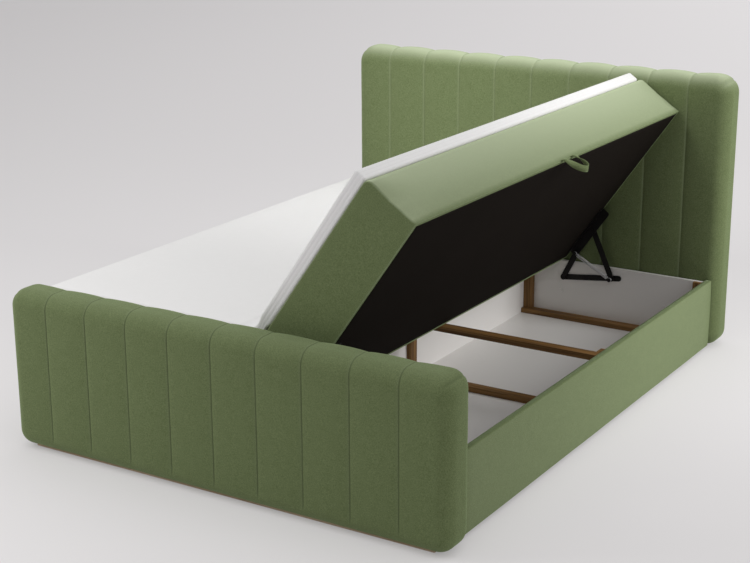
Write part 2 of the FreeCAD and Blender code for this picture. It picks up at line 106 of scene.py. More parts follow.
class BedColours(bpy.types.PropertyGroup):
    """Colours of the bed's cloths, woods and metals."""

    green_dark: colour("Green, dark", "Darker yarn of the upholstery", (0.106, 0.136, 0.056))
    # painted highlight: a paler colour mixed into the upholstery where it faces up, standing in for light
    # from above
    green_highlight: colour("Green, pile", "Raised nap of the upholstery", (0.53, 0.59, 0.41))
    green_light: colour("Green, light", "Lighter yarn of the upholstery", (0.176, 0.219, 0.102))
    piping: colour("Piping", "Welt round the lower edge of a mattress half", (0.27, 0.31, 0.19))
    dust_cloth: colour("Dust cloth", "Cloth under a mattress half", (0.0085, 0.0068, 0.0055))
    knit: colour("Topper knit", "Knitted cover of the topper", (0.85, 0.838, 0.838))
    white: colour("White board", "Faced board of the boxes", (0.76, 0.735, 0.715))
    walnut_dark: colour("Walnut, dark", "Dark grain of the battens", (0.088, 0.042, 0.012))
    walnut_light: colour("Walnut, light", "Light grain of the battens", (0.285, 0.150, 0.048))
    timber_dark: colour("Timber, dark", "Dark grain of the raw timber", (0.44, 0.32, 0.20))
    timber_light: colour("Timber, light", "Light grain of the raw timber", (0.66, 0.52, 0.36))
    black_steel: colour("Black steel", "Painted bars and pins of the lift fittings", (0.004, 0.0033, 0.003))
    zinc: colour("Zinc steel", "Tension springs", (0.66, 0.66, 0.67))
    plastic: colour("Black plastic", "Glides under the boxes", (0.02, 0.02, 0.02))
    foam_dark: colour("Foam, dark", "Darker cells of the foam", (0.66, 0.62, 0.50))
    foam_light: colour("Foam, light", "Lighter cells of the foam", (0.76, 0.72, 0.60))
    wall: colour("Wall", "Studio wall behind the floor", (0.66, 0.645, 0.65))
    floor_shade: colour("Floor, shaded side", "Studio floor far to the left", (0.54, 0.525, 0.53))
    floor_lit: colour("Floor, lit side", "Studio floor at the right", (0.80, 0.78, 0.785))


class BedForms(bpy.types.PropertyGroup):
    """Sizes of the soft forms that the user may change."""

    channels: IntProperty(name="Channels", description="Padded channels across a board", min=2, default=10)
    seam_depth: length("Seam depth", "How far a seam draws a board's padding in", 0.008)
    head_corner: length("Headboard corner", "Rounding of the headboard's outline at its upper corners", 0.072)
    foot_corner: length("Footboard corner", "Rounding of the footboard's outline at its upper corners", 0.058)
    board_foot: length("Board foot", "Rounding of a board's outline at its lower corners", 0.053)
    board_rim: length("Board rim", "Rounding between a board's faces and its rim", 0.052)
    board_roll: length("Board roll", "Rounding from a board's faces over its top", 0.064)
    board_hem: length("Board hem", "Rounding along a board's lower edges", 0.012)
    foot_swell: length("Footboard swell", "How far the footboard's padding swells at its ends and top", 0.004)
    rail_edge: length("Rail edge", "Rounding along a side rail's upper edge", 0.004)
    rail_hem: length("Rail hem", "Rounding along a side rail's lower edge", 0.007)
    rail_crown: length("Rail crown", "How far a side rail's padding stands out", 0.0025)
    lid_width: length("Lid width", "Width of a mattress half", 0.797)
    lid_thickness: length("Lid thickness", "Height of a mattress half", 0.203)
    lid_bulge: length("Lid bulge", "How far a mattress half's outer side stands out", 0.011)
    end_bulge: length("End bulge", "How far a mattress half's ends stand out", 0.002)
    lid_shoulder: length("Lid shoulder", "Rounding along a mattress half's upper edges", 0.022)
    lid_end: length("Lid end", "Rounding of a mattress half's end edges", 0.007)
    lid_tilt: angle("Lid tilt", "Slope of the open mattress half", 55.1)
    piping_radius: length("Piping radius", "Radius of the welt", 0.0010)
    pad_round: length("Topper rounding", "Rounding of the topper's edges", 0.009)
    fold_hollow: length("Fold hollow", "Hollow under the topper where it bends", 0.013)
    loop_width: length("Loop width", "Width of a pull loop's strap", 0.022)
    loop_reach: length("Loop reach", "How far a pull loop hangs from the lid", 0.080)
    coil_turns: IntProperty(name="Coil turns", description="Turns of a tension spring", min=4, default=36)
    coil_radius: length("Coil radius", "Middle radius of a tension spring", 0.0066)
    wire_radius: length("Wire radius", "Wire radius of a tension spring", 0.0013)
    eye_radius: length("Eye radius", "Middle radius of the ring at a tension spring's end", 0.0074)
    spring_neck: length("Spring neck", "Stretch between a spring's ring and its coil", 0.0065)


class BedStage(bpy.types.PropertyGroup):
    """Camera and light."""

    camera_place: position("Camera place", "Where the camera stands", (2.85025, -4.7710, 2.0988))
    camera_turn: angle("Camera turn", "Camera's angle round the bed", 31.91)
    camera_height: angle("Camera height", "Camera's angle above the horizon", 16.84)
    camera_roll: angle("Camera roll", "Camera's roll round its line of sight", -0.22)
    lens: FloatProperty(name="Lens", description="Focal length", unit="CAMERA", min=1.0, default=76.58)
    light_way: FloatVectorProperty(name="Light way", description="Where most of the light comes from",
                                   subtype="DIRECTION", size=3, default=(0.22, 0.08, 0.97))
    sky_low: strength("Sky, dim side", "Strength of the sky away from the light", 0.03)
    sky_high: strength("Sky, bright side", "Strength of the sky towards the light", 1.08)
    bed_place: position("Bed lamp place", "Where the lamp over the bed hangs", (-0.4, -0.9, 2.4))
    bed_aim: position("Bed lamp aim", "What the lamp over the bed points at", (-0.25, 1.15, 0.85))
    bed_size: length("Bed lamp size", "Side of the lamp over the bed", 0.9)
    bed_power: strength("Bed lamp power", "Power of the lamp over the bed", 4.3, "POWER")
    bed_spread: angle("Bed lamp spread", "How widely the lamp over the bed fans out", 60)
    side_place: position("Side lamp place", "Where the side lamp stands", (3.3, 1.15, 1.9))
    side_aim: position("Side lamp aim", "What the side lamp points at", (0.6, 0.65, 0.5))
    side_size: length("Side lamp size", "Side of the side lamp", 1.2)
    side_power: strength("Side lamp power", "Power of the side lamp", 7.6, "POWER")
    side_spread: angle("Side lamp spread", "How widely the side lamp fans out", 60)
    front_place: position("Front lamp place", "Where the front lamp stands", (-2.4, -2.6, 2.0))
    front_aim: position("Front lamp aim", "What the front lamp points at", (-0.2, -0.3, 0.4))
    front_size: length("Front lamp size", "Side of the front lamp", 1.8)
    front_power: strength("Front lamp power", "Power of the front lamp", 39.0, "POWER")
    front_spread: angle("Front lamp spread", "How widely the front lamp fans out", 180)


# Finishes


def set_inputs(node, values):
    """Gives a node's inputs, by name or number, a value or another node's output."""
    for socket, value in values.items():
        if isinstance(value, bpy.types.NodeSocket):
            node.id_data.links.new(value, node.inputs[socket])
        else:
            node.inputs[socket].default_value = value


def add_node(tree, kind, values=None, **settings):
    """A shader node with its settings and with what its inputs are given."""
    node = tree.nodes.new("ShaderNode" + kind)
    for name, setting in settings.items():
        setattr(node, name, setting)
    set_inputs(node, values or {})
    return node


def mix_colours(tree, share, first, second):
    """A colour that goes from the first to the second with the share."""
    values = {"Factor": share, "A": first, "B": second}
    return add_node(tree, "Mix", values, data_type="RGBA").outputs["Result"]


def new_group(name, given, made):
    """Starts a shader node group: gives the group, what comes into it and its end node."""
    group = bpy.data.node_groups.new(name, "ShaderNodeTree")
    for way, sockets in (("INPUT", given), ("OUTPUT", made)):
        for socket, kind in sockets.items():
            group.interface.new_socket(socket, in_out=way, socket_type="NodeSocket" + kind)
    return group, group.nodes.new("NodeGroupInput").outputs, group.nodes.new("NodeGroupOutput")


def cloth_grain():
    """Mottled yarn: a colour and a surface that vary along the cloth."""
    group = bpy.data.node_groups.get("Cloth grain")
    if group:
        return group
    group, given, made = new_group("Cloth grain",
                                   {"Dark": "Color", "Light": "Color", "Yarn": "Float", "Relief": "Float"},
                                   {"Colour": "Color", "Normal": "Vector"})
    place = add_node(group, "TexCoord").outputs["Object"]
    yarn = add_node(group, "TexNoise", {"Vector": place, "Scale": given["Yarn"], "Detail": 3.0,
                                        "Roughness": 0.6}).outputs["Fac"]
    cloud = add_node(group, "TexNoise", {"Vector": place, "Scale": 38.0, "Detail": 2.0}).outputs["Fac"]
    both = add_node(group, "Math", {0: cloud, 1: 0.16, 2: yarn}, operation="MULTIPLY_ADD").outputs[0]
    tone = add_node(group, "MapRange", {"Value": both, "From Min": 0.36, "From Max": 0.80}).outputs["Result"]
    bump = add_node(group, "Bump", {"Strength": 0.5, "Distance": given["Relief"], "Height": yarn})
    set_inputs(made, {"Colour": mix_colours(group, tone, given["Dark"], given["Light"]),
                      "Normal": bump.outputs["Normal"]})
    return group


def wood_grain():
    """Streaks of wood, as long and as wide as the vector makes them."""
    group = bpy.data.node_groups.get("Wood grain")
    if group:
        return group
    group, given, made = new_group("Wood grain", {"Vector": "Vector", "Dark": "Color", "Light": "Color"},
                                   {"Colour": "Color", "Streak": "Float"})
    streak = add_node(group, "TexNoise", {"Vector": given["Vector"], "Scale": 1.0, "Detail": 5.0,
                                          "Distortion": 0.4}).outputs["Fac"]
    tone = add_node(group, "MapRange", {"Value": streak, "From Min": 0.3, "From Max": 0.7}).outputs["Result"]
    set_inputs(made, {"Colour": mix_colours(group, tone, given["Dark"], given["Light"]), "Streak": tone})
    return group


def blank_material(name):
    material = bpy.data.materials.new(name)
    material.use_nodes = True
    return material, material.node_tree, material.node_tree.nodes["Principled BSDF"]


def cloth(name, dark, light, yarn, relief, sheen=0.0, highlight_colour=None, shine=0.15):
    """A matt cloth with mottled yarn; given a highlight colour, it has painted shade along its seams and a
    painted highlight where it faces the light.
    """
    material, tree, shader = blank_material(name)
    values = {"Dark": (*dark, 1), "Light": (*light, 1), "Yarn": yarn, "Relief": relief}
    grain = add_node(tree, "Group", values, node_tree=cloth_grain()).outputs
    finish = grain["Colour"]
    if highlight_colour:
        # painted shade along the seams, then the painted highlight where the cloth faces the light
        for painted_shading, other in (("seam", [0.8 * part for part in dark]), ("nap", highlight_colour)):
            share = add_node(tree, "Attribute", attribute_name=painted_shading).outputs["Fac"]
            finish = mix_colours(tree, share, finish, (*other, 1))
    set_inputs(shader, {"Base Color": finish, "Normal": grain["Normal"], "Roughness": 0.92,
                        "Specular IOR Level": shine, "Sheen Weight": sheen, "Sheen Roughness": 0.38,
                        "Sheen Tint": (0.74, 0.92, 0.52, 1)})
    return material


def wood(name, dark, light, along, rough):
    """Wood with its grain along one axis of the bed."""
    material, tree, shader = blank_material(name)
    place = add_node(tree, "TexCoord").outputs["Object"]
    stretch = [3.0 if axis == along else 90.0 for axis in range(3)]
    drawn = add_node(tree, "Mapping", {"Vector": place, "Scale": stretch}).outputs["Vector"]
    values = {"Vector": drawn, "Dark": (*dark, 1), "Light": (*light, 1)}
    grain = add_node(tree, "Group", values, node_tree=wood_grain()).outputs
    bump = add_node(tree, "Bump", {"Strength": 0.25, "Distance": 0.0004, "Height": grain["Streak"]})
    set_inputs(shader, {"Base Color": grain["Colour"], "Normal": bump.outputs["Normal"], "Roughness": rough,
                        "Specular IOR Level": 0.25})
    return material


def hard(name, base, rough, metal=0.0, uneven=0.06, shine=0.5):
    """Paint, board or metal with a slightly uneven gloss."""
    material, tree, shader = blank_material(name)
    place = add_node(tree, "TexCoord").outputs["Object"]
    patch = add_node(tree, "TexNoise", {"Vector": place, "Scale": 40.0, "Detail": 4.0}).outputs["Fac"]
    gloss = add_node(tree, "MapRange", {"Value": patch, "To Min": rough - uneven, "To Max": rough + uneven})
    set_inputs(shader, {"Base Color": (*base, 1), "Roughness": gloss.outputs["Result"], "Metallic": metal,
                        "Specular IOR Level": shine})
    return material


def make_finish(name):
    """The named finish of the bed, made from the colours that are set."""
    colours = bpy.context.scene.bed_colours
    walnut = (colours.walnut_dark, colours.walnut_light)
    timber = (colours.timber_dark, colours.timber_light)
    makers = {
        # the upholstery gets painted seam shade and a painted highlight in its highlight colour
        "Moss upholstery": lambda: cloth(name, colours.green_dark, colours.green_light, yarn=290.0,
                                         relief=0.0024, sheen=0.35, highlight_colour=colours.green_highlight),
        "Moss piping": lambda: cloth(name, colours.green_light, colours.piping, yarn=420.0, relief=0.001,
                                     sheen=0.4),
        "Dust cloth": lambda: cloth(name, colours.dust_cloth, [1.8 * x for x in colours.dust_cloth],
                                    yarn=600.0, relief=0.0006, shine=0.03),
        "White knit": lambda: cloth(name, [0.94 * x for x in colours.knit], colours.knit, yarn=520.0,
                                    relief=0.0010, sheen=0.1, highlight_colour=colours.knit),
        "Pale foam": lambda: cloth(name, colours.foam_dark, colours.foam_light, yarn=240.0, relief=0.001),
        "Walnut across": lambda: wood(name, *walnut, along=0, rough=0.55),
        "Walnut upright": lambda: wood(name, *walnut, along=2, rough=0.55),
        "Raw timber": lambda: wood(name, *timber, along=0, rough=0.7),
        "Raw timber lengthwise": lambda: wood(name, *timber, along=1, rough=0.7),
        "White board": lambda: hard(name, colours.white, rough=0.42),
        "Black steel": lambda: hard(name, colours.black_steel, rough=0.5, shine=0.2),
        "Zinc steel": lambda: hard(name, colours.zinc, rough=0.34, metal=1.0),
        "Black plastic": lambda: hard(name, colours.plastic, rough=0.6),
    }
    return bpy.data.materials.get(name) or makers[name]()


# Forms


def box_form(low, high):
    bm = bmesh.new()
    place = Matrix.Translation((low + high) / 2) @ Matrix.Diagonal((*(high - low), 1.0))
    bmesh.ops.create_cube(bm, size=1.0, matrix=place)
    return bm


def edges_along(bm, axis, **places):
    """Edges that run along an axis and lie at the places given for the others."""
    found = []
    for edge in bm.edges:
        a, b = (v.co for v in edge.verts)
        on = all(abs(p["xyz".index(k)] - at) < SAME_PLACE for k, at in places.items() for p in (a, b))
        if on and abs((b - a)[axis]) > 0.999 * (b - a).length:
            found.append(edge)
    return found


def rim_edges(bm, axis, place):
    return [e for e in bm.edges if all(abs(v.co[axis] - place) < SAME_PLACE for v in e.verts)]


def round_edges(bm, edges, radius, segments):
    bmesh.ops.bevel(bm, geom=edges, offset=radius, offset_type="OFFSET", segments=segments, profile=0.5,
                    affect="EDGES", clamp_overlap=True, material=-1)


def cut_across(bm, axis, places):
    """Cuts the whole form across one axis, so that it can be shaped there."""
    for place in places:
        point, normal = Vector(), Vector()
        point[axis], normal[axis] = place, 1.0
        bmesh.ops.bisect_plane(bm, geom=bm.verts[:] + bm.edges[:] + bm.faces[:],
                               plane_co=point, plane_no=normal)


def spread(start, end, step):
    """Even places between two ends, about a step apart."""
    count = max(1, round((end - start) / step))
    return [start + (end - start) * i / count for i in range(1, count)]


def drop_faces(bm, axis, place):
    faces = [f for f in bm.faces if all(abs(v.co[axis] - place) < SAME_PLACE for v in f.verts)]
    bmesh.ops.delete(bm, geom=faces, context="FACES")


def clamp(x):
    return min(1.0, max(0.0, x))


def smooth(x):
    """Eases from 0 to 1."""
    return x * x * (3 - 2 * x)


def move_form(bm, matrix):
    bmesh.ops.transform(bm, matrix=matrix, verts=bm.verts[:])


def thicken(piece, thickness, offset):
    skin = piece.modifiers.new("Thickness", "SOLIDIFY")
    skin.thickness = thickness
    skin.offset = offset


def paint_highlight(bm, way, most):
    """Marks a painted highlight by how far the cloth turns towards the way, where the light comes from."""
    painted_shading = bm.verts.layers.float.get("nap") or bm.verts.layers.float.new("nap")
    bm.normal_update()
    for v in bm.verts:
        v[painted_shading] = clamp(v[painted_shading] + most * clamp(v.normal.dot(way)) ** 2.5)


def new_piece(name, bm, finish, body=None, crease=None):
    """Puts a form into the scene as a smooth piece that rides on a body."""
    bmesh.ops.recalc_face_normals(bm, faces=bm.faces[:])
    mesh = bpy.data.meshes.new(name)
    bm.to_mesh(mesh)
    bm.free()
    mesh.shade_smooth()
    if crease:
        mesh.set_sharp_from_angle(angle=math.radians(crease))
    mesh.materials.append(make_finish(finish))
    piece = bpy.data.objects.new(name, mesh)
    bpy.context.scene.collection.objects.link(piece)
    if body:
        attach(piece, body)
    return piece


def dress(nodes, finish, soft_edge=0.0):
    """Gives CAD nodes their finish, and takes the sharpness off their edges."""
    for name in nodes:
        node = frame["nodes"][name]
        node.data.materials.clear()
        node.data.materials.append(make_finish(finish))
        if soft_edge:
            bevel = node.modifiers.new("Soft edges", "BEVEL")
            bevel.width = soft_edge
            bevel.segments = 2
            bevel.limit_method = "ANGLE"
            bevel.angle_limit = math.radians(50)


# Boards


def swell_top(bm, low, high, corner, forms):
    """Widens the rounding of the rim along a board's top, less and less round its corners."""
    rim, roll = forms.board_rim, min(forms.board_roll, corner - 0.002)
    for v in bm.verts:
        across = max(0.0, abs(v.co.x) - high.x + corner)
        up = v.co.z - high.z + corner
        reach = math.hypot(across, up)
        if up < SAME_PLACE or reach < corner - rim - 0.003:
            continue
        turn = math.atan2(up, across) / (math.pi / 2)
        more = 1 + (roll / rim - 1) * smooth(turn)
        pull = (corner - reach) * (more - 1) / reach
        v.co.x -= math.copysign(across * pull, v.co.x)
        v.co.z -= up * pull
        face = low.y if v.co.y < (low.y + high.y) / 2 else high.y
        v.co.y = face + (v.co.y - face) * more


def board_form(low, high, corner, forms):
    """A thick board with rounded corners and rims, tighter along its lower edges."""
    bm = box_form(low, high)
    round_edges(bm, edges_along(bm, 1, z=high.z), corner, 12)
    round_edges(bm, edges_along(bm, 1, z=low.z), forms.board_foot, 10)
    round_edges(bm, rim_edges(bm, 1, low.y) + rim_edges(bm, 1, high.y), forms.board_rim, 10)
    half = (high.x - low.x) / 2
    swell_top(bm, low, high, corner, forms)
    for v in bm.verts:
        rise = v.co.z - low.z
        if rise > forms.board_rim + SAME_PLACE:
            continue
        middle = clamp((half - abs(v.co.x) - forms.board_foot) / forms.board_foot)
        share = 1 - (1 - forms.board_hem / forms.board_rim) * middle
        for face, way in ((low.y, 1), (high.y, -1)):
            inset = (v.co.y - face) * way
            if inset < forms.board_rim + SAME_PLACE:
                v.co.y = face + way * inset * share
                v.co.z = low.z + rise * share
    return bm


SEAM_CUTS = (0.0, 0.0013, 0.0034, 0.0068, 0.012, 0.020, 0.033, 0.052)  # from a seam to the cuts beside it
CREASE_REACH = 0.005  # how far a seam's sharp crease runs out
SEAM_SHADE_REACH = 0.0018  # half the width of the painted shade line along a seam
FOLD_BESIDE = 0.0034  # from a seam to the fold beside it, which has a painted highlight
FOLD_HEIGHT = 0.0008
STITCH_REACH = 0.003  # how far a fold or a short seam spreads
CORNER_SEAM_DEPTH = 0.0022  # of the short seam at an upper corner
BOARD_RIPPLE = 0.0007  # unevenness of a board's padding


def draw_seams(bm, low, high, corner, forms, low_board):
    """Draws the padding in along the upright seams, and along a short seam at each upper corner, with painted
    shade along the seams and a painted highlight on the fold beside each.

    The low board has its seams on both faces and draws them in less over its top.
    """
    pitch = (high.x - low.x) / forms.channels
    seams = [low.x + i * pitch for i in range(1, forms.channels)]
    places = {x + sign * d for x in seams for d in SEAM_CUTS for sign in (-1, 1)}
    places |= {low.x + (i + 0.5) * pitch for i in range(forms.channels)}
    cut_across(bm, 0, sorted(places))
    cut_across(bm, 2, spread(low.z + forms.board_rim, high.z - corner, 0.034))
    painted_shading = bm.verts.layers.float.new("seam")
    nap = bm.verts.layers.float.new("nap")
    # dark sets the strength of the painted shade along the seams, pale that of the painted highlight on the
    # fold beside each
    crown, dark, pale = (-0.4, 1.0, 0.07) if low_board else (0.3, 0.3, 0.13)
    bm.normal_update()
    moves = []
    for v in bm.verts:
        n = v.normal
        sewn = 1.0 if low_board else clamp((0.95 - n.y) / 0.45)
        sewn *= clamp(1 + n.z / 0.4) if n.z < 0 else 1.0
        gap = min(abs(v.co.x - x) for x in seams)
        near = 1 - min(1.0, gap / (pitch / 2))
        depth = forms.seam_depth * (0.65 * near ** 2 + 0.35 * math.exp(-gap / CREASE_REACH)) * sewn
        depth *= 1 + crown * clamp(n.z)
        # painted shade along the seam line
        v[painted_shading] = dark * math.exp(-(gap / SEAM_SHADE_REACH) ** 2) * sewn
        beside = min((v.co.x - x for x in seams), key=abs) + FOLD_BESIDE
        fold = math.exp(-(beside / STITCH_REACH) ** 2) * sewn
        # painted highlight on the raised fold beside the seam
        v[nap] = pale * fold
        depth -= FOLD_HEIGHT * fold
        inside = Vector((abs(v.co.x) - high.x + corner, v.co.z - high.z + corner))
        if min(inside) > 0:
            off = abs(math.atan2(inside.y, inside.x) - math.pi / 4) * corner
            short = clamp((0.85 - abs(n.y)) / 0.35)
            depth += CORNER_SEAM_DEPTH * math.exp(-off / STITCH_REACH) * short
            # painted shade along the short corner seam
            v[painted_shading] = max(v[painted_shading], 0.6 * math.exp(-(off / STITCH_REACH) ** 2) * short)
        ripple = BOARD_RIPPLE * noise.noise(Vector((v.co.x * 9, v.co.y * 9, v.co.z * 7)))
        moves.append(n * (ripple - depth))
    for v, move in zip(bm.verts, moves):
        v.co += move


class BED_OT_padded_boards(bpy.types.Operator):
    """Make the channelled padding of the headboard and the footboard"""

    bl_idname = "bed.padded_boards"
    bl_label = "Padded boards"

    def execute(self, context):
        forms = context.scene.bed_forms
        for name, low_board, most in (("headboard", False, 0.82), ("footboard", True, 0.06)):
            low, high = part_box(name + "_cover")
            corner = forms.foot_corner if low_board else forms.head_corner
            if low_board:
                low -= Vector((forms.foot_swell, 0, 0))
                high += Vector((forms.foot_swell, 0, forms.foot_swell))
            bm = board_form(low, high, corner, forms)
            draw_seams(bm, low, high, corner, forms, low_board)
            # painted highlight on the faces turned up, strong on the headboard and slight on the footboard
            paint_highlight(bm, Vector((0, 0, 1)), most)
            piece = new_piece(name + "_padding", bm, "Moss upholstery", "bed_base")
            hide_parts(name + "_cover")
            dress([name + "_core"], "Raw timber")
        return {"FINISHED"}


# Rails


RAIL_RIPPLE = 0.0008  # unevenness of a side rail's cover


class BED_OT_rail_covers(bpy.types.Operator):
    """Make the upholstery round the side rails"""

    bl_idname = "bed.rail_covers"
    bl_label = "Rail covers"

    def execute(self, context):
        forms = context.scene.bed_forms
        for side in SIDES:
            low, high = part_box(side + "_rail_cover")
            outer, inner = (high.x, low.x) if side == "right" else (low.x, high.x)
            bm = box_form(low, high)
            round_edges(bm, edges_along(bm, 1, x=outer, z=high.z), forms.rail_edge, 4)
            round_edges(bm, edges_along(bm, 1, x=outer, z=low.z), forms.rail_hem, 4)
            drop_faces(bm, 0, inner)
            cut_across(bm, 2, spread(low.z + 0.012, high.z - 0.012, 0.035))
            cut_across(bm, 1, spread(low.y, high.y, 0.05))
            away = 1 if side == "right" else -1
            for v in bm.verts:
                height = (v.co.z - low.z) / (high.z - low.z)
                crown = forms.rail_crown * (1 - (2 * height - 1) ** 4)
                ripple = RAIL_RIPPLE * noise.noise(Vector((3.0 * away, v.co.y * 5, v.co.z * 9)))
                v.co.x += away * (crown + ripple) * clamp(abs(v.co.x - inner) / 0.02)
            # painted highlight on the rail's outward side
            paint_highlight(bm, Vector((away, 0, 0)), 0.1)
            piece = new_piece(side + "_rail_padding", bm, "Moss upholstery", "bed_base", 50)
            thicken(piece, thickness=0.0035, offset=-1.0)
            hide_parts(side + "_rail_cover")
        return {"FINISHED"}


# Mattress halves


def lid_place(side, forms):
    """From a mattress half's own frame, with its inner lower edge at zero, to its place at rest."""
    low, high = CLOSED_LID
    if side == "left":
        return Matrix.Diagonal((-1.0, 1.0, 1.0, 1.0)) @ Matrix.Translation((-high.x, 0, low.z))
    edge = OPEN_LID[1].x - forms.lid_width * math.cos(forms.lid_tilt)
    return Matrix.Translation((edge, 0, OPEN_LID[0].z)) @ Matrix.Rotation(-forms.lid_tilt, 4, "Y")


LID_HEM = 0.010  # how far the cover is folded under a mattress half
CLOTH_INSET = 0.009  # from the edges of a mattress half to its dust cloth
SWELL_STEPS = 20  # frames of the cloth simulation


def lid_form(forms):
    """The upholstered body of a mattress half, open below."""
    width, thick = forms.lid_width, forms.lid_thickness
    half = CLOSED_LID[1].y
    bm = box_form(Vector((0, -half, 0)), Vector((width, half, thick)))
    round_edges(bm, edges_along(bm, 1, z=thick), forms.lid_shoulder, 9)
    ends = [e for e in rim_edges(bm, 1, half) + rim_edges(bm, 1, -half)
            if max(v.co.z for v in e.verts) > SAME_PLACE]
    round_edges(bm, ends, forms.lid_end, 5)
    base = [f for f in bm.faces if all(v.co.z < SAME_PLACE for v in f.verts)]
    bmesh.ops.inset_region(bm, faces=base, thickness=LID_HEM, use_even_offset=True)
    bmesh.ops.delete(bm, geom=base, context="FACES")
    cut_across(bm, 2, spread(0.0, thick - forms.lid_shoulder, 0.02))
    cut_across(bm, 1, spread(-half + 0.02, half - 0.02, 0.05))
    cut_across(bm, 0, spread(0.06, width - 0.06, 0.08))
    bmesh.ops.recalc_face_normals(bm, faces=bm.faces[:])
    swell_cover(bm, half, forms)
    return bm


def swell_cover(bm, half, forms):
    """Lets pressure swell a cover's outer side and ends, held at its base, its top and its inner side."""
    width, thick = forms.lid_width, forms.lid_thickness
    moves = cloth_moves(bm, lambda co: co.z < 0.012 or co.z > thick - 0.001 or co.x < 0.03)
    out_share = forms.lid_bulge / max(move.x for move in moves)
    end_share = forms.end_bulge / max(abs(move.y) for move in moves)
    for v, move in zip(bm.verts, moves):
        out = clamp((v.co.x - width + 0.05) / 0.05)
        end = clamp((abs(v.co.y) - half + 0.02) / 0.02)
        v.co.x += out * out_share * move.x
        v.co.y += end * end_share * move.y


def cloth_moves(bm, is_held):
    """How a cloth simulation under pressure moves each vertex of a form."""
    scene = bpy.context.scene
    mesh = bpy.data.meshes.new("swelling")
    bm.to_mesh(mesh)
    trial = bpy.data.objects.new("swelling", mesh)
    scene.collection.objects.link(trial)
    held = trial.vertex_groups.new(name="held")
    held.add([v.index for v in mesh.vertices if is_held(v.co)], 1.0, "REPLACE")
    fabric = trial.modifiers.new("Fabric", "CLOTH")
    fabric.settings.quality = 6
    fabric.settings.use_pressure = True
    fabric.settings.uniform_pressure_force = 4.0
    fabric.settings.effector_weights.gravity = 0.0
    fabric.settings.vertex_group_mass = "held"
    fabric.collision_settings.use_collision = False
    fabric.point_cache.frame_start = 1
    fabric.point_cache.frame_end = SWELL_STEPS
    for step in range(1, SWELL_STEPS + 1):
        scene.frame_set(step)
    swollen = trial.evaluated_get(bpy.context.evaluated_depsgraph_get())
    moves = [after.co - before.co for after, before in zip(swollen.data.vertices, mesh.vertices)]
    bpy.data.objects.remove(trial)
    bpy.data.meshes.remove(mesh)
    scene.frame_set(1)
    return moves


def dust_cloth_form(forms):
    """The cloth stretched under a mattress half, drawn in a little between the slats."""
    half = CLOSED_LID[1].y - CLOTH_INSET
    across = forms.lid_width / 2 - CLOTH_INSET
    bm = bmesh.new()
    place = Matrix.Translation((forms.lid_width / 2, 0, 0.0006)) @ Matrix.Diagonal((across, half, 1, 1))
    bmesh.ops.create_grid(bm, x_segments=36, y_segments=96, size=1.0, matrix=place)
    for v in bm.verts:
        u, y = (v.co.x - forms.lid_width / 2) / across, v.co.y / half
        hollow = (1 - u ** 4) * abs(math.sin(2 * math.pi * (y + 1)))
        crease = noise.noise(Vector((v.co.x * 7, v.co.y * 3, 1.7))) * (1 - u ** 2) * (1 - y ** 2)
        v.co.z += 0.0014 * hollow + 0.0010 * crease
    return bm


def piping_form(forms):
    """A round welt that follows the lower edge of a mattress half."""
    half, width, corner = CLOSED_LID[1].y, forms.lid_width, forms.lid_end
    curve = bpy.data.curves.new("welt", "CURVE")
    curve.dimensions = "3D"
    curve.bevel_depth = forms.piping_radius
    curve.bevel_resolution = 2
    spline = curve.splines.new("POLY")
    points = []
    for cx, cy, start in ((width - corner, half - corner, 0), (corner, half - corner, 90),
                          (corner, corner - half, 180), (width - corner, corner - half, 270)):
        for step in range(6):
            turn = math.radians(start + 18 * step)
            points.append((cx + corner * math.cos(turn), cy + corner * math.sin(turn), 0.0012, 1))
    spline.points.add(len(points) - 1)
    for point, co in zip(spline.points, points):
        point.co = co
    spline.use_cyclic_u = True
    shape = bpy.data.objects.new("welt", curve)
    bm = bmesh.new()
    bm.from_mesh(shape.to_mesh())
    shape.to_mesh_clear()
    bpy.data.objects.remove(shape)
    bpy.data.curves.remove(curve)
    return bm


class BED_OT_mattress_halves(bpy.types.Operator):
    """Make the covers, welts and dust cloths of the two mattress halves"""

    bl_idname = "bed.mattress_halves"
    bl_label = "Mattress halves"

    def execute(self, context):
        forms = context.scene.bed_forms
        for side in SIDES:
            place = lid_place(side, forms)
            upright = place.to_3x3() @ Vector((math.sin(forms.lid_tilt), 0, math.cos(forms.lid_tilt)))
            body = side + "_lid"
            bm = lid_form(forms)
            move_form(bm, place)
            # painted highlight where the cover faces up at rest
            paint_highlight(bm, upright, 0.74)
            cover = new_piece(side + "_mattress_cover", bm, "Moss upholstery", body, 60)
            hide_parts(side + "_lid_cover")
            bm = piping_form(forms)
            move_form(bm, place)
            new_piece(side + "_welt", bm, "Moss piping", body)
            bm = dust_cloth_form(forms)
            move_form(bm, place)
            sheet = new_piece(side + "_dust_cloth", bm, "Dust cloth", body)
            thicken(sheet, thickness=0.0008, offset=0.0)
            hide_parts(side + "_lid_bottom_cloth")
            dress([side + "_lid_frame"], "Raw timber lengthwise")
            dress([side + "_lid_spring_core", side + "_lid_foam"], "Pale foam")
        return {"FINISHED"}


LOOP_ALONG = (-0.040, -0.036, 0.054, 0.034)  # a pull loop's ends and guides along the lid
LOOP_CLEAR = 0.011  # its way out past the rail
LOOP_LEAN = 0.009  # how much further it leans out at its lowest
LOOP_SEWN_IN = 0.001  # how deep its ends are sewn in
LOOP_ROOT = 0.004  # how high its ends are above the lid's lower edge


